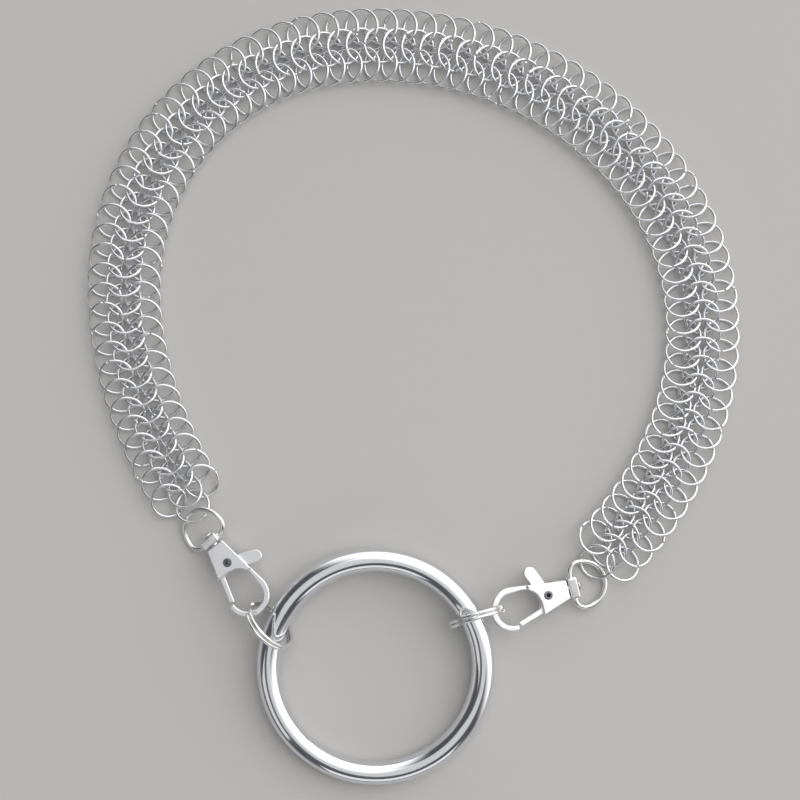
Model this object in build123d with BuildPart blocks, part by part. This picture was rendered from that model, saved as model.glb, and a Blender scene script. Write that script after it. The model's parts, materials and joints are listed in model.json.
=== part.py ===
from build123d import *
import os
from math import atan2, cos, degrees, radians, sin, sqrt

# A choker of ring mail, laid out flat as it lies on a table.
# +Y points to the back of the neck, +Z is up, and the table is at z = 0.
# The origin is under the middle of the box around the choker.
# A wide band of interlocking links runs round the neck. At each end a D loop carries
# a swivelling trigger clasp, and a split ring joins each clasp to one large front ring.

os.makedirs("parts", exist_ok=True)

# Links of the band
link_wire = 0.85
link_inner = 8.0
link_rows = 73
column_spacing = 4.95
link_tilt = 19.0
last_row_tilt = 23.7
link_radius = (link_inner + link_wire) / 2

# Middle line of the band, from its left end over the back of the neck to its right end
band_route = [
    (-57.2, -29.0),
    (-72.1, 3.2),
    (-75.1, 37.2),
    (-62.6, 67.2),
    (-37.1, 86.7),
    (-5.1, 91.7),
    (26.4, 84.7),
    (53.4, 67.2),
    (71.4, 40.7),
    (75.4, 9.2),
    (65.8, -20.8),
    (47.7, -43.8),
]

# Front ring
front_inner = 50.0
front_wire = 6.0
front_centre = (-9.75, -70.55)
front_tilt = 2.3
front_radius = (front_inner + front_wire) / 2

# Split rings: two coils of wire with a step between them
split_outer = 15.0
split_wire = 1.0
coil_gap = 0.1
coil_step_angle = 30.0
table_clearance = 0.03
split_radius = (split_outer - split_wire) / 2
coil_spacing = split_wire + coil_gap
left_split_middle = (-37.18, -59.23)
left_split_direction = 133.3
left_split_lean = 19.4
right_split_middle = (16.4, -57.14)
right_split_direction = 18.3
right_split_lean = 9.9

# Clasp casting. Its origin is the swivel end, x runs to the tip of the hook,
# y to the side of the gate and z through its thickness.
swivel_end_width = 5.0
hook_centre = (15.4, 1.1)
hook_outer_radius = 5.75
hook_tip = (hook_centre[0] + hook_outer_radius, hook_centre[1])
hook_thickness = 2.2
eye_centre = (13.75, 1.2)
eye_length = 11.6
eye_width = 8.3
cheek_thickness = 3.7
cheek_end = 10.4
gate_root = (7.8, 1.2)
gate_opening = 7.1
slot_width = 1.7
slot_start = 3.25
slot_end = 9.7

# Post and head that carry the D loop
post_diameter = 1.9
head_diameter = 3.0
head_height = 1.0
dome_height = 0.7
dome_radius = (dome_height**2 + (head_diameter / 2) ** 2) / (2 * dome_height)
collar_gap = 0.35
head_gap = 0.1
post_root = 1.0

# Lever: hub, gate and thumb tab, one flat plate
pivot = (5.6, 0.0)
lever_thickness = 1.5
hub_radius = 2.2
gate_reach = 10.5
gate_outline = [(4.6, 1.9), (7.2, 4.3), (16.0, 6.7), (16.0, 5.2), (8.4, 3.0), (7.6, 0.9), (5.6, 0.0)]
tab_middle = (7.3, -3.45)
tab_end = (8.6, -6.7)
tab_width = 3.4

# Pivot rivet, a short tube with a rim at each face
rivet_diameter = 1.9
rivet_hole = 1.1
rim_diameter = 2.3
rim_height = 0.2
rivet_clearance = 0.03
pivot_clearance = 0.05

# D loop and its collar
loop_wire = 1.4
loop_half_width = 6.15
loop_corner = 2.8
collar_length = 2.6
collar_width = 5.7
collar_height = 3.4
collar_rounding = 0.5
post_clearance = 0.08
collar_middle = -(collar_gap + collar_length / 2)
head_face = collar_middle - collar_length / 2 - head_gap
head_end = head_face - head_height
straight_half = loop_half_width - loop_corner
corner_middle = collar_middle - loop_corner


def lying_place(centre, heading, pitch, turn):
    """Place of a clasp: heading and pitch of its length, then its turn about that length."""
    return Location(centre) * Rotation(0, 0, heading) * Rotation(0, -pitch, 0) * Rotation(turn, 0, 0)


def standing_place(middle, direction, lean):
    """Place of a split ring on edge: its middle seen from above, the way it runs, and its lean."""
    height = split_radius * cos(radians(lean)) + coil_spacing / 2 * sin(radians(lean)) + split_wire / 2
    centre = (*middle, height + table_clearance)
    return Location(centre) * Rotation(0, 0, direction) * Rotation(90 - lean, 0, 0)


clasp_places = {
    "left": lying_place((-51.52, -38.99, 3.87), -51.8, 5.0, 180),
    "right": lying_place((40.13, -50.48, 2.65), 194.7, 9.7, 0),
}
loop_turns = {"left": 25.9, "right": -5.6}
split_places = {
    "left": standing_place(left_split_middle, left_split_direction, left_split_lean),
    "right": standing_place(right_split_middle, right_split_direction, right_split_lean),
}

# The links

with BuildLine() as band_line:
    Spline(*band_route)
band_length = band_line.wires()[0].length
link_pitch = band_length / (link_rows + 1)


def link_place(distance, sideways=0.0, forward=0.0, lift=0.0, yaw=0.0, tilt=link_tilt, roll=0.0):
    """Place of one link, by its distance along the band and to the outer side.

    A positive tilt raises the edge that points towards the right end. The link rests
    with its lowest point on the table, or at the given lift above it.
    """
    middle = band_line.wires()[0]
    point = middle.position_at(distance, position_mode=PositionMode.LENGTH)
    along = middle.tangent_at(distance, position_mode=PositionMode.LENGTH)
    outward = Vector(-along.Y, along.X)
    slope = sqrt(1 - (cos(radians(tilt)) * cos(radians(roll))) ** 2)
    height = link_radius * slope + link_wire / 2 + lift
    centre = point + outward * sideways + along * forward + Vector(0, 0, height)
    heading = degrees(atan2(along.Y, along.X)) + yaw
    return Location(centre) * Rotation(0, 0, heading) * Rotation(0, -tilt, 0) * Rotation(roll, 0, 0)


link_places = []
for row in range(1, link_rows + 1):
    edge_tilt = link_tilt
    if row == link_rows:
        edge_tilt = last_row_tilt
    link_places.append(link_place(row * link_pitch, sideways=column_spacing, tilt=edge_tilt))
    link_places.append(link_place(row * link_pitch, sideways=-column_spacing, tilt=edge_tilt))
    link_places.append(link_place(row * link_pitch, tilt=-link_tilt))

# The link at each end of the band hangs on a D loop, so it lies askew
link_places.append(
    link_place(0, sideways=0.33, forward=0.41, lift=0.12, yaw=-26.5, tilt=-22.6, roll=-8.2)
)
link_places.append(
    link_place(band_length, sideways=0.0, forward=-0.6, lift=0.13, yaw=22.0, tilt=-16.6, roll=13.9)
)

with BuildPart() as link:
    Torus(link_radius, link_wire / 2)

# The links touch nowhere, so the band is a group of separate solids
mail_band = Compound([place * link.part.solid() for place in link_places])
mail_band.label = "mail_band"
export_step(mail_band, "parts/mail_band.step")

# Front ring, tilted a little so that the split rings pass under it

front_height = front_wire / 2 + front_radius * sin(radians(front_tilt))
front_plane = Plane(Location((*front_centre, front_height)) * Rotation(front_tilt, 0, 0))
with BuildPart(front_plane) as front_ring:
    Torus(front_radius, front_wire / 2)
front_ring.part.label = "o_ring"
export_step(front_ring.part, "parts/o_ring.step")

# Split ring, in its own frame: one turn below the middle plane and one above

with BuildPart() as split_ring:
    with BuildLine() as coil:
        lower = CenterArc((0, 0, -coil_spacing / 2), split_radius, coil_step_angle, 360 - coil_step_angle)
        upper = CenterArc((0, 0, coil_spacing / 2), split_radius, coil_step_angle, 360 - coil_step_angle)
        Spline(lower @ 1, upper @ 0, tangents=(lower % 1, upper % 0))
    with BuildSketch(Plane(origin=lower @ 0, z_dir=lower % 0)):
        Circle(split_wire / 2)
    sweep(path=coil.wires()[0])

# Clasp casting: a thin frame round the eye, thicker cheeks at the pivot, and the post

with BuildPart() as clasp_body:
    with BuildSketch(Plane.XY.offset(-hook_thickness / 2)) as frame_outline:
        with BuildLine():
            hook_round = CenterArc(hook_centre, hook_outer_radius, 0, 360, mode=Mode.PRIVATE)
            gate_side = PointArcTangentLine((0, swivel_end_width / 2), hook_round, side=Side.LEFT)
            tab_side = PointArcTangentLine((0, -swivel_end_width / 2), hook_round, side=Side.RIGHT)
            Line(tab_side @ 0, gate_side @ 0)
            ThreePointArc(gate_side @ 1, hook_tip, tab_side @ 1)
        make_face()
        with Locations(eye_centre):
            SlotOverall(eye_length, eye_width, mode=Mode.SUBTRACT)
        with Locations(gate_root):
            Rectangle(
                gate_opening,
                2 * hook_outer_radius,
                align=(Align.MIN, Align.MIN),
                mode=Mode.SUBTRACT,
            )
    extrude(amount=hook_thickness)
    with BuildSketch(Plane.XY.offset(-cheek_thickness / 2)):
        add(frame_outline.sketch_local)
        Rectangle(
            cheek_end,
            4 * hook_outer_radius,
            align=(Align.MIN, Align.CENTER),
            mode=Mode.INTERSECT,
        )
    extrude(amount=cheek_thickness)
    with Locations((slot_start, 0, 0)):
        Box(
            slot_end - slot_start,
            4 * hook_outer_radius,
            slot_width,
            align=(Align.MIN, Align.CENTER, Align.CENTER),
            mode=Mode.SUBTRACT,
        )
    with Locations(pivot):
        Hole(rivet_diameter / 2 + rivet_clearance)
    with BuildSketch():
        with BuildLine():
            Polyline(
                (head_end, 0),
                (post_root, 0),
                (post_root, post_diameter / 2),
                (head_face, post_diameter / 2),
                (head_face, head_diameter / 2),
                (head_end + dome_height, head_diameter / 2),
            )
            RadiusArc((head_end + dome_height, head_diameter / 2), (head_end, 0), -dome_radius)
        make_face()
    revolve(axis=Axis.X)

# Lever: hub and gate, their end rounded about the pivot, and the thumb tab

with BuildPart() as clasp_lever:
    with BuildSketch(Plane.XY.offset(-lever_thickness / 2)):
        Polygon(*gate_outline, align=None)
        with Locations(pivot):
            Circle(hub_radius)
            Circle(gate_reach, mode=Mode.INTERSECT)
        SlotCenterPoint(tab_middle, tab_end, tab_width)
    extrude(amount=lever_thickness)
    with Locations(pivot):
        Hole(rivet_diameter / 2 + pivot_clearance)

# Rivet: a tube through both cheeks, with a rim that rests on each

with BuildPart() as clasp_rivet:
    with BuildSketch(Plane((*pivot, 0), x_dir=(1, 0, 0), z_dir=(0, -1, 0))):
        with BuildLine():
            Polyline(
                (rivet_hole / 2, 0),
                (rivet_diameter / 2, 0),
                (rivet_diameter / 2, cheek_thickness / 2),
                (rim_diameter / 2, cheek_thickness / 2),
                (rim_diameter / 2, cheek_thickness / 2 + rim_height),
                (rivet_hole / 2, cheek_thickness / 2 + rim_height),
                close=True,
            )
        make_face()
        mirror(about=Plane.XZ)
    revolve(axis=Axis((*pivot, 0), (0, 0, 1)))

# D loop: a wire with one straight side, which runs through the collar on the post

with BuildPart() as d_loop:
    with Locations((collar_middle, 0, 0)):
        Box(collar_length, collar_width, collar_height)
    fillet(d_loop.edges().filter_by(Axis.X), collar_rounding)
    with BuildLine() as loop_path:
        Line((collar_middle, -straight_half), (collar_middle, straight_half))
        CenterArc((corner_middle, straight_half), loop_corner, 0, 90)
        CenterArc((corner_middle, 0), loop_half_width, 90, 180)
        CenterArc((corner_middle, -straight_half), loop_corner, 270, 90)
    with BuildSketch(Plane(loop_path.wires()[0] @ 0, z_dir=loop_path.wires()[0] % 0)):
        Circle(loop_wire / 2)
    sweep(path=loop_path.wires()[0])
    with Locations((collar_middle, 0, 0)):
        Cylinder(
            post_diameter / 2 + post_clearance,
            2 * collar_length,
            rotation=(0, 90, 0),
            mode=Mode.SUBTRACT,
        )

# Each side has one of each, in its place


def save_placed(model, name, place):
    """Write a copy of the model, moved to its place, under its own name."""
    with BuildPart() as placed:
        with Locations(place):
            add(model.part)
    placed.part.label = name
    export_step(placed.part, f"parts/{name}.step")


for side, place in clasp_places.items():
    save_placed(clasp_body, f"{side}_clasp_body", place)
    save_placed(clasp_lever, f"{side}_clasp_lever", place)
    save_placed(clasp_rivet, f"{side}_clasp_rivet", place)
    save_placed(d_loop, f"{side}_d_loop", place * Rotation(loop_turns[side], 0, 0))
    save_placed(split_ring, f"{side}_split_ring", split_places[side])
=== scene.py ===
# %% [markdown]
# # A choker of ring mail with a large front ring
#
# The choker is bright wire and polished castings, so almost everything here is about
# round sections that catch the light. The working model already knows where each piece
# is and how the clasps move. This scene puts smooth, finished metal in the same places.

# %% Load the working model
import json
import math

import bmesh
import bpy
import numpy
from mathutils import Matrix, Vector


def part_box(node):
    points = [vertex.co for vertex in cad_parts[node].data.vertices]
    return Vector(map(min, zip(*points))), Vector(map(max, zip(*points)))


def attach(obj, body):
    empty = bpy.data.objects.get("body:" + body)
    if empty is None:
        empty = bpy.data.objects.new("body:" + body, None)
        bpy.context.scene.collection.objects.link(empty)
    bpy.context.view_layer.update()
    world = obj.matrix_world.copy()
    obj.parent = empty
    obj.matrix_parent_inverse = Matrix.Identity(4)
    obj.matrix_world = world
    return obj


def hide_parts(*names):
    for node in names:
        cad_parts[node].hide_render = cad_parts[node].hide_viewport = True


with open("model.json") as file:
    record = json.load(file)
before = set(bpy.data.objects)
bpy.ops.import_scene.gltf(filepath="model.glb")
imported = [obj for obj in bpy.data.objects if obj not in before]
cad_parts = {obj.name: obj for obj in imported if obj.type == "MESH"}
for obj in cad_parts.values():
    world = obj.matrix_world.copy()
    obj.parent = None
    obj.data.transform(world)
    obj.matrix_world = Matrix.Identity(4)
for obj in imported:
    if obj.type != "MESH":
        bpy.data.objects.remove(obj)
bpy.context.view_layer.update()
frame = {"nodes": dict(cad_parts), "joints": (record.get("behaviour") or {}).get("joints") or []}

millimetre = 0.001
print("nodes:", sorted(frame["nodes"]))

# %% [markdown]
# ## Working by hand in edit mode
#
# Blender's operators act on whatever is selected, and the model that was just loaded is
# selected, so each new piece starts by clearing the selection. The pieces are drawn in
# millimetres round the origin, where the sizes are easy to read. When a piece is done it
# is scaled to metres and put in its place, and the place is written into its mesh.

# %% Helpers for starting, cutting and finishing a piece
flat_angle = 1


def start_fresh():
    """Leave edit mode and clear the selection."""
    if bpy.context.object and bpy.context.object.mode != "OBJECT":
        bpy.ops.object.mode_set(mode="OBJECT")
    bpy.ops.object.select_all(action="DESELECT")


def select_only(piece):
    """Make one piece the active and only selected object."""
    start_fresh()
    piece.select_set(True)
    bpy.context.view_layer.objects.active = piece


def close_up(piece, merge_distance=0.002):
    """Merge doubled points, and point all faces outwards."""
    select_only(piece)
    bpy.ops.object.mode_set(mode="EDIT")
    bpy.ops.mesh.select_all(action="SELECT")
    bpy.ops.mesh.remove_doubles(threshold=merge_distance)
    bpy.ops.mesh.normals_make_consistent(inside=False)
    bpy.ops.object.mode_set(mode="OBJECT")


def combine(piece, tool, operation):
    """Cut a tool out of a piece, weld it on or keep what they share, and use it up."""
    select_only(piece)
    modifier = piece.modifiers.new(name="combine", type="BOOLEAN")
    modifier.operation = operation
    modifier.solver = "EXACT"
    modifier.object = tool
    bpy.ops.object.modifier_apply(modifier=modifier.name)
    bpy.data.objects.remove(tool)


def round_edges(piece, width, segments=3, angle=30, speck=0.025):
    """Merge the specks that cuts leave, then round every edge sharper than an angle."""
    select_only(piece)
    bpy.ops.object.mode_set(mode="EDIT")
    bpy.ops.mesh.select_all(action="SELECT")
    bpy.ops.mesh.remove_doubles(threshold=speck)
    bpy.ops.mesh.dissolve_limited(angle_limit=math.radians(flat_angle))
    bpy.ops.object.mode_set(mode="OBJECT")
    modifier = piece.modifiers.new(name="rounding", type="BEVEL")
    modifier.width = width
    modifier.segments = segments
    modifier.limit_method = "ANGLE"
    modifier.angle_limit = math.radians(angle)
    modifier.use_clamp_overlap = False
    bpy.ops.object.modifier_apply(modifier=modifier.name)


def smooth(piece, sharp_angle=40):
    """Shade smooth, and keep the edges sharper than an angle."""
    select_only(piece)
    bpy.ops.object.shade_smooth_by_angle(angle=math.radians(sharp_angle))


def keep_faces_flat(piece):
    """Let the large faces set the shading, so that only their rounded edges curve."""
    select_only(piece)
    modifier = piece.modifiers.new(name="flat_faces", type="WEIGHTED_NORMAL")
    modifier.keep_sharp = True
    bpy.ops.object.modifier_apply(modifier=modifier.name)


def copy_to(piece, name, place):
    """A copy with its own mesh, scaled to metres and put in its place."""
    copy = bpy.data.objects.new(name, piece.data.copy())
    bpy.context.scene.collection.objects.link(copy)
    copy.data.transform(place @ Matrix.Scale(millimetre, 4))
    return copy


# %% [markdown]
# ## Bending wire and turning on a lathe
#
# Most of the choker is wire. A wire starts as the round disc of its cut end. Pushing the
# disc on makes a straight run, and spinning it about a centre makes a bend, exactly as a
# wire is bent round a pin. Turned pieces such as pins and heads grow the same way: the
# ring at the end of the work is pushed on and widened or narrowed, step by step.

# %% Helpers for wire and for turned pieces
def start_wire(name, point, direction, thickness, sides, fill="NGON"):
    """The cut end of a wire that sets off from a point in a direction."""
    start_fresh()
    turn = Vector((0, 0, 1)).rotation_difference(Vector(direction)).to_euler()
    bpy.ops.mesh.primitive_circle_add(
        vertices=sides,
        radius=thickness / 2,
        fill_type=fill,
        location=point,
        rotation=turn,
    )
    wire = bpy.context.object
    wire.name = name
    bpy.ops.object.transform_apply(location=True, rotation=True, scale=True)
    bpy.ops.object.mode_set(mode="EDIT")
    bpy.ops.mesh.select_mode(type="VERT")
    bpy.ops.mesh.select_all(action="SELECT")
    return wire


def run_straight(step):
    """Push the selected end on by a step."""
    bpy.ops.mesh.extrude_region_move(TRANSFORM_OT_translate={"value": step})


def bend(degrees, centre, axis, steps):
    """Turn the selected end about a centre, anticlockwise for someone the axis points at."""
    bpy.ops.mesh.spin(steps=steps, angle=-math.radians(degrees), center=centre, axis=axis)


def turned_piece(name, profile, sides, fill="NGON"):
    """Grow a piece along z from the radius and height of each step of its profile."""
    radius, height = profile[0]
    piece = start_wire(name, (0, 0, height), (0, 0, 1), 2 * radius, sides, fill)
    for next_radius, next_height in profile[1:]:
        run_straight((0, 0, next_height - height))
        scale = next_radius / radius
        bpy.ops.transform.resize(value=(scale, scale, 1), center_override=(0, 0, next_height))
        radius, height = next_radius, next_height
    close_up(piece)
    return piece


# %% [markdown]
# ## The links of the mail
#
# Each link is a round steel wire bent into a ring and cut, so its ends meet with a hair
# of a gap. A torus has no such joint, so the wire's end is spun almost all the way round
# and the seam is real. There are over two hundred links, so the one that is copied has
# only a few dozen faces, and a Subdivision Surface modifier rounds them off. That
# modifier draws its cage in, so the cage starts larger by the share that is lost.

# %% Measure the links of the working model
same_point = 0.001


def loose_rings(node):
    """Centre, axis and reach of each ring in a node. A ring spreads least along its axis.

    The corners are walked by number. A set of them would have a new order in each run,
    and an axis that now and then points the other way.
    """
    mesh = bmesh.new()
    mesh.from_mesh(node.data)
    bmesh.ops.remove_doubles(mesh, verts=mesh.verts, dist=same_point * millimetre)
    mesh.verts.index_update()
    seen = set()
    rings = []
    for start in mesh.verts:
        if start.index in seen:
            continue
        seen.add(start.index)
        frontier = [start]
        points = []
        while frontier:
            vertex = frontier.pop()
            points.append(vertex.co.copy())
            for edge in vertex.link_edges:
                other = edge.other_vert(vertex)
                if other.index not in seen:
                    seen.add(other.index)
                    frontier.append(other)
        centre = sum(points, Vector()) / len(points)
        spread = numpy.array([point - centre for point in points])
        axis = Vector(numpy.linalg.svd(spread, full_matrices=False)[2][-1])
        rings.append((centre, axis, max(point.length for point in map(Vector, spread))))
    mesh.free()
    return rings


links = loose_rings(frame["nodes"]["mail_band"])
link_reach = sum(reach for centre, axis, reach in links) / len(links)
print("links:", len(links), "outer diameter in mm:", round(2 * link_reach / millimetre, 2))

# %% Bend one link
link_wire = 0.85
link_radius = 4.425
link_gap_angle = 1.5
link_end_angle = 4.0
link_sides = 4
link_steps = 16


def subdivision_shrink(corners):
    """The share of its radius that a regular cage keeps when it is subdivided."""
    return (2 + math.cos(math.tau / corners)) / 3


cage_wire = link_wire / subdivision_shrink(link_sides)
cage_radius = link_radius / subdivision_shrink(link_steps)
link = start_wire("link", (cage_radius, 0, 0), (0, 1, 0), cage_wire, link_sides)
bend(link_end_angle, (0, 0, 0), (0, 0, 1), 1)
bend(360 - link_gap_angle - 2 * link_end_angle, (0, 0, 0), (0, 0, 1), link_steps)
bend(link_end_angle, (0, 0, 0), (0, 0, 1), 1)
close_up(link)
print("faces of a link:", len(link.data.polygons))

# %% Copy the link along the band
golden_turn = math.radians(137.5)


def band_angle(ring):
    """Where a link is round the neck, from the front by way of the left side."""
    centre = ring[0]
    return math.atan2(-centre.x, -centre.y)


links.sort(key=band_angle)
band_copies = []
for number, (centre, axis, reach) in enumerate(links):
    upright = Vector((0, 0, 1)).rotation_difference(axis).to_matrix().to_4x4()
    seam_turn = Matrix.Rotation(number * golden_turn, 4, "Z")
    link_place = Matrix.Translation(centre) @ upright @ seam_turn
    band_copies.append(copy_to(link, "link_copy", link_place))
bpy.data.objects.remove(link)

# %% Join the copies into three lengths of the band
band_names = ["mail_right", "mail_back", "mail_left"]
third = math.ceil(len(band_copies) / len(band_names))
mail_pieces = []
for number, name in enumerate(band_names):
    members = band_copies[number * third : (number + 1) * third]
    start_fresh()
    for member in members:
        member.select_set(True)
    bpy.context.view_layer.objects.active = members[0]
    bpy.ops.object.join()
    length = bpy.context.object
    length.name = name
    bpy.ops.object.shade_smooth()
    modifier = length.modifiers.new(name="round_wire", type="SUBSURF")
    modifier.levels = 1
    modifier.render_levels = 1
    bpy.ops.object.modifier_apply(modifier=modifier.name)
    mail_pieces.append(length)
    print(name, "faces:", len(length.data.polygons))

# %% [markdown]
# ## The front ring
#
# This is the piece that catches the eye: a heavy ring of round bar, welded shut and
# polished. Its highlights are long and unbroken, so the section needs many sides, and
# the bar is spun all the way round and closed on itself.

# %% Spin the front ring
front_wire = 6.0
front_radius = 28.0
front_tilt = 2.3
front_sides = 48
front_steps = 192

low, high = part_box("o_ring")
front_turn = Matrix.Rotation(math.radians(front_tilt), 4, "X")
front_place = Matrix.Translation((low + high) / 2) @ front_turn
front_start = (front_radius, 0, 0)
blank = start_wire("front_blank", front_start, (0, 1, 0), front_wire, front_sides, "NOTHING")
bend(360, (0, 0, 0), (0, 0, 1), front_steps)
close_up(blank)
smooth(blank)
front_ring = copy_to(blank, "front_ring", front_place)
bpy.data.objects.remove(blank)
print("front ring faces:", len(front_ring.data.polygons))

# %% [markdown]
# ## The split rings
#
# A split ring is two turns of wire lying on each other, with a short step where the wire
# climbs from one turn to the next. Its open ends are what the eye finds, so the wire is
# one open run: a turn, the climb, and another turn.

# %% Coil a split ring
split_radius = 7.0
split_wire = 1.0
coil_spacing = 1.1
coil_step_angle = 30.0
coil_sides = 16
turn_steps = 88
climb_steps = 10


def climb(degrees, rise, steps):
    """Turn the selected end about z while it rises, easing in and out."""
    done = 0.0
    for step in range(1, steps + 1):
        share = 0.5 - 0.5 * math.cos(math.pi * step / steps)
        bend(degrees / steps, (0, 0, 0), (0, 0, 1), 1)
        bpy.ops.transform.translate(value=(0, 0, (share - done) * rise))
        done = share


first_angle = math.radians(coil_step_angle)
coil_start = (
    split_radius * math.cos(first_angle),
    split_radius * math.sin(first_angle),
    -coil_spacing / 2,
)
coil_direction = (-math.sin(first_angle), math.cos(first_angle), 0)
split_ring = start_wire("split_ring", coil_start, coil_direction, split_wire, coil_sides)
bend(360 - coil_step_angle, (0, 0, 0), (0, 0, 1), turn_steps)
climb(coil_step_angle, coil_spacing, climb_steps)
bend(360 - coil_step_angle, (0, 0, 0), (0, 0, 1), turn_steps)
close_up(split_ring)
smooth(split_ring)

# %% Stand a split ring on each side
table_clearance = 0.03
split_stands = {
    "left": ((-37.18, -59.23), 133.3, 19.4),
    "right": ((16.4, -57.14), 18.3, 9.9),
}


def turned(degrees, axis):
    """A turn about one of the axes."""
    return Matrix.Rotation(math.radians(degrees), 4, axis)


def standing_place(middle, direction, lean):
    """Place of a split ring on edge: its middle from above, the way it runs, and its lean."""
    angle = math.radians(lean)
    coil_height = split_radius * math.cos(angle) + coil_spacing / 2 * math.sin(angle)
    height = coil_height + split_wire / 2 + table_clearance
    centre = Vector((*middle, height)) * millimetre
    return Matrix.Translation(centre) @ turned(direction, "Z") @ turned(90 - lean, "X")


split_rings = {}
for side, stand in split_stands.items():
    place = standing_place(*stand)
    split_rings[side] = copy_to(split_ring, side + "_coil", place)
    low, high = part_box(side + "_split_ring")
    off = ((low + high) / 2 - place.translation).length / millimetre
    print(side, "coil middle off by mm:", round(off, 2))
bpy.data.objects.remove(split_ring)

# %% [markdown]
# ## Where the clasps lie
#
# Everything on a clasp turns about two axes, and the working model's joints name both:
# the swivel runs along the clasp, and the gate's pivot goes through its thickness. Those
# two give the clasp's own frame, with x towards the hook and z up through the rivet.

# %% Read each clasp's frame from its joints
joints = {joint["name"]: joint for joint in frame["joints"]}
clasp_places = {}
for side in ("left", "right"):
    swivel = joints[side + "_swivel"]
    along = Vector(swivel["axis"]).normalized()
    upward = -Vector(joints[side + "_gate"]["axis"]).normalized()
    aside = upward.cross(along).normalized()
    place = Matrix((along, aside, along.cross(aside))).transposed().to_4x4()
    place.translation = Vector(swivel["pos_m"])
    clasp_places[side] = place
print("clasp frames:", sorted(clasp_places))

# %% [markdown]
# ## The D loops
#
# Each D loop is a wire with one straight side. That side is gripped by a small cast
# collar, which turns on the clasp's post. The wire is bent in one run and its ends stop
# inside the collar, so the post's hole stays open.

# %% Bend the wire of a D loop
loop_wire = 1.4
loop_half_width = 6.15
loop_corner = 2.8
collar_middle = -1.65
wire_end = 1.5
loop_sides = 16
corner_steps = 10
arc_steps = 36
straight_half = loop_half_width - loop_corner
corner_middle = collar_middle - loop_corner

loop_start = (collar_middle, wire_end, 0)
loop_bend = start_wire("loop_bend", loop_start, (0, 1, 0), loop_wire, loop_sides)
run_straight((0, straight_half - wire_end, 0))
bend(90, (corner_middle, straight_half, 0), (0, 0, 1), corner_steps)
bend(180, (corner_middle, 0, 0), (0, 0, 1), arc_steps)
bend(90, (corner_middle, -straight_half, 0), (0, 0, 1), corner_steps)
run_straight((0, straight_half - wire_end, 0))
close_up(loop_bend)
smooth(loop_bend)

# %% Cast the collar
collar_length = 2.6
collar_width = 5.7
collar_height = 3.4
collar_rounding = 0.5
post_hole = 1.03
cut_reach = 5.0
hole_sides = 32

start_fresh()
bpy.ops.mesh.primitive_cube_add(
    size=1,
    location=(collar_middle, 0, 0),
    scale=(collar_length, collar_width, collar_height),
)
collar = bpy.context.object
collar.name = "collar"
bpy.ops.object.transform_apply(location=True, rotation=True, scale=True)
round_edges(collar, collar_rounding, segments=4)
hole = turned_piece("hole", [(post_hole, -cut_reach), (post_hole, cut_reach)], hole_sides)
hole.data.transform(turned(90, "Y"))
combine(collar, hole, "DIFFERENCE")
smooth(collar)
keep_faces_flat(collar)

# %% Put a D loop on each clasp's post
loop_turns = {"left": 25.9, "right": -5.6}
loops = {}
for side, place in clasp_places.items():
    loop_place = place @ turned(loop_turns[side], "X")
    loops[side] = [
        copy_to(loop_bend, side + "_d_wire", loop_place),
        copy_to(collar, side + "_collar", loop_place),
    ]
bpy.data.objects.remove(loop_bend)
bpy.data.objects.remove(collar)

# %% [markdown]
# ## The clasp casting
#
# The casting is a flat frame round an eye, with thicker cheeks where the lever pivots.
# Its outline is a circle with two straight sides that run off it to the narrower swivel
# end. That is the convex hull of a disc and a small block, which Blender finds by
# itself. The eye, the opening for the gate and the slot for the lever are cut out, and
# the edges are rounded before the crisp slot is milled, as on the real casting.

# %% Shape the plates of the casting
swivel_end_width = 5.0
hook_centre = (15.4, 1.1)
hook_outer_radius = 5.75
hook_thickness = 2.2
cheek_thickness = 3.7
cheek_end = 10.4
end_block = 0.02
hook_sides = 96


def disc(name, centre, radius, thickness, sides=64):
    """A flat disc about z = 0."""
    piece = turned_piece(name, [(radius, -thickness / 2), (radius, thickness / 2)], sides)
    piece.data.transform(Matrix.Translation((*centre, 0)))
    return piece


def hull_of(pieces):
    """Join pieces and wrap them in their convex hull."""
    start_fresh()
    for piece in pieces:
        piece.select_set(True)
    bpy.context.view_layer.objects.active = pieces[0]
    bpy.ops.object.join()
    bpy.ops.object.mode_set(mode="EDIT")
    bpy.ops.mesh.select_all(action="SELECT")
    bpy.ops.mesh.convex_hull()
    bpy.ops.mesh.select_all(action="SELECT")
    bpy.ops.mesh.dissolve_limited(angle_limit=math.radians(flat_angle))
    bpy.ops.object.mode_set(mode="OBJECT")
    return bpy.context.object


def block(name, low_corner, high_corner):
    """A block between two corners."""
    start_fresh()
    sizes = [high - low for low, high in zip(low_corner, high_corner)]
    middle = [(high + low) / 2 for low, high in zip(low_corner, high_corner)]
    bpy.ops.mesh.primitive_cube_add(size=1, location=middle, scale=sizes)
    piece = bpy.context.object
    piece.name = name
    bpy.ops.object.transform_apply(location=True, rotation=True, scale=True)
    return piece


def clasp_plate(name, thickness):
    """The outline of the clasp, as thick as given."""
    half_width = swivel_end_width / 2
    half = thickness / 2
    end = block(name, (0, -half_width, -half), (end_block, half_width, half))
    round_end = disc(name, hook_centre, hook_outer_radius, thickness, hook_sides)
    return hull_of([round_end, end])


casting = clasp_plate("casting", hook_thickness)
print("plate faces:", len(casting.data.polygons))

# %% Cut the eye and the opening for the gate
eye_centre = (13.75, 1.2)
eye_length = 11.6
eye_width = 8.3
gate_root = (7.8, 1.2)
gate_opening = 7.1
side_reach = 12.0

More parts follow.
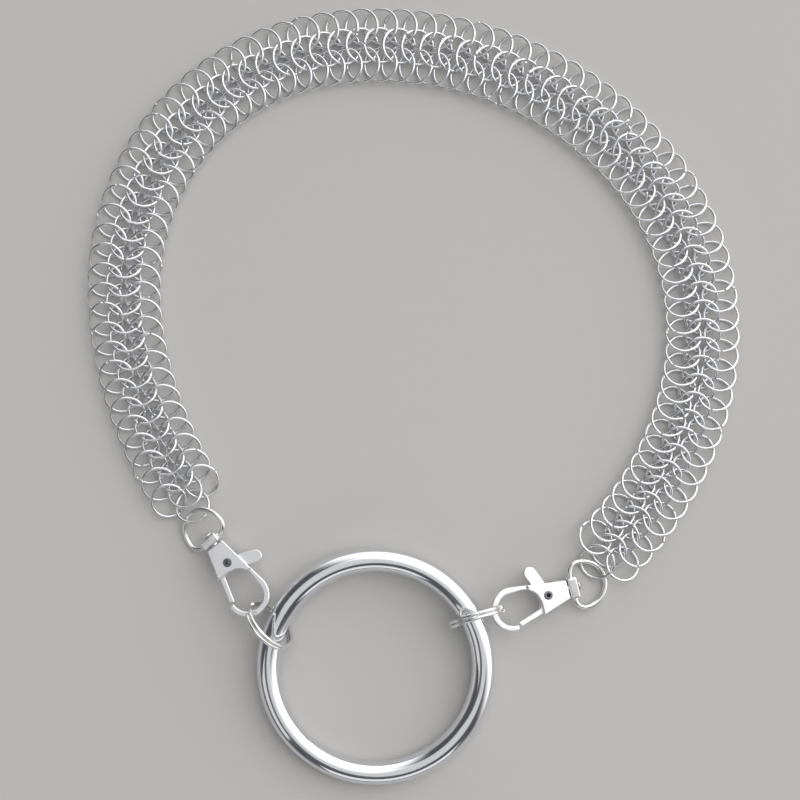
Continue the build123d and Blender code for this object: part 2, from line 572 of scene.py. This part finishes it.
eye_reach = (eye_length - eye_width) / 2
eye_ends = [(eye_centre[0] + way * eye_reach, eye_centre[1]) for way in (-1, 1)]
eye = hull_of([disc("eye", centre, eye_width / 2, 2 * cut_reach) for centre in eye_ends])
combine(casting, eye, "DIFFERENCE")
opening_end = (gate_root[0] + gate_opening, gate_root[1] + side_reach, cut_reach)
opening = block("opening", (*gate_root, -cut_reach), opening_end)
combine(casting, opening, "DIFFERENCE")

# %% Raise the cheeks and round the edges
cheek_rise = (cheek_thickness - hook_thickness) / 2
edge_rounding = 0.35
faces_that_way = 0.9


def raise_cheek(piece, side):
    """Pull one face of the plate out at the cheek. The side is 1 for up and -1 for down."""
    select_only(piece)
    bpy.ops.object.mode_set(mode="EDIT")
    bpy.ops.mesh.select_mode(type="FACE")
    bpy.ops.mesh.select_all(action="DESELECT")
    bpy.ops.object.mode_set(mode="OBJECT")
    for face in piece.data.polygons:
        face.select = face.normal.z * side > faces_that_way and face.center.x < cheek_end
    bpy.ops.object.mode_set(mode="EDIT")
    run_straight((0, 0, side * cheek_rise))
    bpy.ops.object.mode_set(mode="OBJECT")


select_only(casting)
bpy.ops.object.mode_set(mode="EDIT")
bpy.ops.mesh.select_all(action="SELECT")
bpy.ops.mesh.bisect(plane_co=(cheek_end, 0, 0), plane_no=(1, 0, 0))
raise_cheek(casting, 1)
raise_cheek(casting, -1)
round_edges(casting, edge_rounding)
print("casting faces:", len(casting.data.polygons))

# %% Mill the slot and drill the rivet hole
slot_width = 1.7
slot_start = 3.25
slot_end = 9.7
milled_edge = 35
pivot = (5.6, 0.0)
rivet_diameter = 1.9
rivet_clearance = 0.03

slot_low = (slot_start, -side_reach, -slot_width / 2)
slot_high = (slot_end, side_reach, slot_width / 2)
combine(casting, block("slot", slot_low, slot_high), "DIFFERENCE")
rivet_hole_size = rivet_diameter / 2 + rivet_clearance
rivet_hole = disc("rivet_hole", pivot, rivet_hole_size, 2 * cut_reach, hole_sides)
combine(casting, rivet_hole, "DIFFERENCE")

# %% Turn the post and its domed head, and weld it on
post_radius = 0.95
post_root = 1.0
head_face = 3.05
head_radius = 1.5
head_side = 0.3
dome_height = 0.7
dome_radius = (dome_height**2 + head_radius**2) / (2 * dome_height)
dome_steps = 6
post_sides = 32
head_rounding = 0.12
head_crease = 50

profile = [(post_radius, -post_root), (post_radius, head_face), (head_radius, head_face)]
for step in range(dome_steps):
    rise = dome_height * step / dome_steps
    radius = math.sqrt(dome_radius**2 - (dome_radius - dome_height + rise) ** 2)
    profile.append((radius, head_face + head_side + rise))
post = turned_piece("post", profile, post_sides)
round_edges(post, head_rounding, segments=2, angle=head_crease)
post.data.transform(turned(-90, "Y"))
combine(casting, post, "UNION")
smooth(casting, milled_edge)
keep_faces_flat(casting)
print("casting with its post, faces:", len(casting.data.polygons))

# %% [markdown]
# ## The lever
#
# One flat plate is the thumb tab, the hub round the pivot and the gate. The gate's end
# is an arc about the pivot, so it can swing past the hook's tip with an even gap. The
# parts are joined as tall blocks of different heights and cut from plate at the end, like
# a blanking die. Their flat ends never meet in one plane, which leaves a clean outline.

# %% Cut the lever from plate
lever_thickness = 1.5
hub_radius = 2.2
gate_reach = 10.5
gate_outline = [
    (4.6, 1.9),
    (7.2, 4.3),
    (16.0, 6.7),
    (16.0, 5.2),
    (8.4, 3.0),
    (7.5, 0.6),
    (5.6, 0.0),
]
tab_root = (6.17, -0.63)
tab_end = (8.6, -6.7)
tab_width = 3.4
lever_rounding = 0.3
lever_speck = 0.09
pivot_clearance = 0.05
sweep_sides = 128
tab_sides = 40

# Heights of the blanking tools, no two alike, and the reach of the plate
sweep_height = 20.0
gate_height = 12.0
hub_height = 10.0
tab_height = 8.0
plate_low = (-5.0, -15.0)
plate_high = (25.0, 15.0)


uneven_place = (31.0, 17.0, 11.0)


def number_anew(piece):
    """Number corners, edges and faces by their distance from an uneven place.

    Cuts number them differently in each run, and the merging of specks goes by number.
    """
    select_only(piece)
    bpy.context.scene.cursor.location = uneven_place
    bpy.ops.object.mode_set(mode="EDIT")
    bpy.ops.mesh.select_all(action="SELECT")
    bpy.ops.mesh.sort_elements(type="CURSOR_DISTANCE", elements={"VERT", "EDGE", "FACE"})
    bpy.ops.object.mode_set(mode="OBJECT")
    bpy.context.scene.cursor.location = (0, 0, 0)


def plate_of(name, outline, thickness):
    """A flat plate with the given corners, about z = 0.

    It starts as a circle with one corner for each, and every corner is then moved.
    """
    piece = start_wire(name, (0, 0, -thickness / 2), (0, 0, 1), 1, len(outline))
    bpy.ops.object.mode_set(mode="OBJECT")
    for vertex, corner in zip(piece.data.vertices, outline):
        vertex.co.x, vertex.co.y = corner
    bpy.ops.object.mode_set(mode="EDIT")
    bpy.ops.mesh.select_all(action="SELECT")
    run_straight((0, 0, thickness))
    bpy.ops.object.mode_set(mode="OBJECT")
    close_up(piece)
    return piece


lever = plate_of("lever", gate_outline, gate_height)
sweep_limit = disc("sweep_limit", pivot, gate_reach, sweep_height, sweep_sides)
combine(lever, sweep_limit, "INTERSECT")
combine(lever, disc("hub", pivot, hub_radius, hub_height), "UNION")
tab_ends = [
    disc("tab", centre, tab_width / 2, tab_height, tab_sides) for centre in (tab_root, tab_end)
]
combine(lever, hull_of(tab_ends), "UNION")
plate = block("plate", (*plate_low, -lever_thickness / 2), (*plate_high, lever_thickness / 2))
combine(lever, plate, "INTERSECT")
number_anew(lever)
round_edges(lever, lever_rounding, speck=lever_speck)
pivot_hole_size = rivet_diameter / 2 + pivot_clearance
pivot_hole = disc("pivot_hole", pivot, pivot_hole_size, sweep_height, hole_sides)
combine(lever, pivot_hole, "DIFFERENCE")
smooth(lever, milled_edge)
keep_faces_flat(lever)
print("lever faces:", len(lever.data.polygons))

# %% Turn the hollow rivet
rivet_hole_radius = 0.55
rim_radius = 1.15
rim_height = 0.2
rim_rounding = 0.07
rivet_sides = 32
rivet_end = cheek_thickness / 2

rivet_profile = [
    (rivet_hole_radius, -rivet_end - rim_height),
    (rim_radius, -rivet_end - rim_height),
    (rim_radius, -rivet_end),
    (rivet_diameter / 2, -rivet_end),
    (rivet_diameter / 2, rivet_end),
    (rim_radius, rivet_end),
    (rim_radius, rivet_end + rim_height),
    (rivet_hole_radius, rivet_end + rim_height),
    (rivet_hole_radius, -rivet_end - rim_height),
]
rivet = turned_piece("rivet", rivet_profile, rivet_sides, "NOTHING")
rivet.data.transform(Matrix.Translation((*pivot, 0)))
round_edges(rivet, rim_rounding, segments=2)
smooth(rivet)

# %% Fit the casting, lever and rivet on each side
clasps = {}
for side, place in clasp_places.items():
    clasps[side] = {
        "casting": copy_to(casting, side + "_casting", place),
        "lever": copy_to(lever, side + "_lever_plate", place),
        "rivet": copy_to(rivet, side + "_pin", place),
    }
for blank in (casting, lever, rivet):
    bpy.data.objects.remove(blank)

# %% [markdown]
# ## Metal
#
# Bare metal has no colour of its own beyond its reflection, so the finish is all in the
# roughness. A fine noise varies it, as handling and polishing do, and a faint bump
# breaks the reflection a little. The links are drawn wire and stay satin. The hollow
# pins are steel painted dark, a painted shade for the shadow inside their holes, which is
# why each looks like a dark dot. The rest is polished.

# %% Mix a metal finish
noise_detail = 6.0
noise_spread = (0.35, 0.65)
bump_height = 0.02


def metal(name, colour, smoothest, roughest, grain, relief):
    """A bare metal with its roughness and surface varied by noise."""
    material = bpy.data.materials.new(name)
    material.use_nodes = True
    nodes = material.node_tree.nodes
    wires = material.node_tree.links
    shader = nodes["Principled BSDF"]
    shader.inputs["Base Color"].default_value = (*colour, 1)
    shader.inputs["Metallic"].default_value = 1.0
    place = nodes.new("ShaderNodeTexCoord")
    noise = nodes.new("ShaderNodeTexNoise")
    noise.inputs["Scale"].default_value = grain
    noise.inputs["Detail"].default_value = noise_detail
    wires.new(place.outputs["Object"], noise.inputs["Vector"])
    spread = nodes.new("ShaderNodeMapRange")
    spread.inputs["From Min"].default_value = noise_spread[0]
    spread.inputs["From Max"].default_value = noise_spread[1]
    spread.inputs["To Min"].default_value = smoothest
    spread.inputs["To Max"].default_value = roughest
    wires.new(noise.outputs["Fac"], spread.inputs["Value"])
    wires.new(spread.outputs["Result"], shader.inputs["Roughness"])
    bump = nodes.new("ShaderNodeBump")
    bump.inputs["Strength"].default_value = relief
    bump.inputs["Distance"].default_value = bump_height * millimetre
    wires.new(noise.outputs["Fac"], bump.inputs["Height"])
    wires.new(bump.outputs["Normal"], shader.inputs["Normal"])
    return material


satin_wire = metal("satin_wire", (0.85, 0.855, 0.87), 0.1, 0.24, 900, 0.25)
polished_bar = metal("polished_bar", (0.84, 0.85, 0.88), 0.07, 0.13, 250, 0.06)
polished_wire = metal("polished_wire", (0.88, 0.88, 0.87), 0.14, 0.26, 500, 0.15)
# The hollow pins' dark colour is painted shade, standing in for the shadow inside their holes.
painted_shade_steel = metal("painted_shade_steel", (0.2, 0.2, 0.21), 0.3, 0.45, 600, 0.2)
polished_casting = metal("polished_casting", (0.88, 0.88, 0.89), 0.24, 0.38, 600, 0.2)


def finish_piece(piece, material, slot_name, body, *nodes):
    """Give a piece its metal, hang it on its body and hide what it replaces. slot_name is
    unused.
    """
    piece.data.materials.clear()
    piece.data.materials.append(material)
    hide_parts(*nodes)
    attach(piece, body)


for piece in mail_pieces:
    finish_piece(piece, satin_wire, "links", "choker", "mail_band")
finish_piece(front_ring, polished_bar, "front_ring", "choker", "o_ring")
for side in ("left", "right"):
    coil = split_rings[side]
    finish_piece(coil, polished_wire, "split_rings", "choker", side + "_split_ring")
    for piece in loops[side]:
        finish_piece(piece, polished_wire, "clasps", "choker", side + "_d_loop")
    body, arm, node = side + "_clasp", side + "_lever", side + "_clasp_"
    clasp = clasps[side]
    finish_piece(clasp["casting"], polished_casting, "clasps", body, node + "body")
    # The pin's dark colour is painted shade for the shadow inside its hole.
    finish_piece(clasp["rivet"], painted_shade_steel, "clasps", body, node + "rivet")
    finish_piece(clasp["lever"], polished_casting, "clasps", arm, node + "lever")

# %% [markdown]
# ## The table, the light and the camera
#
# Polished metal shows the room more than itself. Here one whole side of the room is
# bright, like a wall of windows, which gives the long white bands on the front ring. The
# dimmer ceiling gives the grey band between them. The camera looks straight down, as for
# a picture taken over a table.

# %% Lay the table
table_size = 1.5
table_colour = (0.6, 0.59, 0.57, 1)
table_roughness = 0.7

start_fresh()
bpy.ops.mesh.primitive_plane_add(size=table_size)
table = bpy.context.object
table.name = "table"
table_paint = bpy.data.materials.new("table_paint")
table_paint.use_nodes = True
table_shader = table_paint.node_tree.nodes["Principled BSDF"]
table_shader.inputs["Base Color"].default_value = table_colour
table_shader.inputs["Roughness"].default_value = table_roughness
table.data.materials.append(table_paint)


# %% Light it
def softbox(name, position, width, height, power):
    """A rectangular light that faces the middle of the choker."""
    start_fresh()
    bpy.ops.object.light_add(type="AREA", location=position)
    lamp = bpy.context.object
    lamp.name = name
    lamp.data.shape = "RECTANGLE"
    lamp.data.size = width
    lamp.data.size_y = height
    lamp.data.energy = power
    lamp.rotation_euler = (-Vector(position)).to_track_quat("-Z", "Y").to_euler()


softbox("ceiling_panel", (0.1, 0.1, 1.2), 1.3, 1.3, 2.6)
softbox("window_right", (0.95, 0.35, 0.6), 1.0, 0.8, 2.2)
softbox("fill_front", (0.1, -1.0, 0.45), 1.0, 0.45, 1.1)
softbox("fill_left", (-0.66, -0.5, 0.66), 0.5, 0.5, 0.5)

# %% Paint the room round the light
room_heights = [0.0, 0.12, 0.45, 0.8, 1.0]
room_greys = [0.5, 0.25, 0.07, 0.1, 0.2]
room_tint = (1.0, 1.02, 1.08)
bright_side = (0.7071, 0.7071, 0.0)
daylight = 1.15
daylight_edge = (0.02, 0.42)

room = bpy.data.worlds.new("room")
room.use_nodes = True
room_nodes = room.node_tree.nodes
room_wires = room.node_tree.links
sight = room_nodes.new("ShaderNodeTexCoord")
parts = room_nodes.new("ShaderNodeSeparateXYZ")
shades = room_nodes.new("ShaderNodeValToRGB")
stops = shades.color_ramp.elements
while len(stops) < len(room_heights):
    stops.new(0.5)
for stop, height, grey in zip(stops, room_heights, room_greys):
    stop.position = height
    stop.color = (*(grey * part for part in room_tint), 1)
room_wires.new(sight.outputs["Generated"], parts.inputs["Vector"])
room_wires.new(parts.outputs["Z"], shades.inputs["Fac"])

facing = room_nodes.new("ShaderNodeVectorMath")
facing.operation = "DOT_PRODUCT"
facing.inputs[1].default_value = bright_side
room_wires.new(sight.outputs["Generated"], facing.inputs[0])
glow = room_nodes.new("ShaderNodeMapRange")
glow.interpolation_type = "SMOOTHSTEP"
glow.inputs["From Min"].default_value = daylight_edge[0]
glow.inputs["From Max"].default_value = daylight_edge[1]
glow.inputs["To Min"].default_value = 0.0
glow.inputs["To Max"].default_value = daylight
room_wires.new(facing.outputs["Value"], glow.inputs["Value"])
both = room_nodes.new("ShaderNodeVectorMath")
both.operation = "ADD"
room_wires.new(shades.outputs["Color"], both.inputs[0])
room_wires.new(glow.outputs["Result"], both.inputs[1])
room_wires.new(both.outputs["Vector"], room_nodes["Background"].inputs["Color"])
bpy.context.scene.world = room
bpy.context.scene.view_settings.view_transform = "Standard"

# %% Hang the camera over the table
camera_height = 0.42
view_centre = (-0.00344, -0.00111)
view_width = 0.2104
sensor_width = 36.0

camera_data = bpy.data.cameras.new("camera")
camera_data.sensor_width = sensor_width
camera_data.lens = sensor_width * camera_height / view_width
camera = bpy.data.objects.new("camera", camera_data)
camera.location = (*view_centre, camera_height)
bpy.context.scene.collection.objects.link(camera)
bpy.context.scene.camera = camera
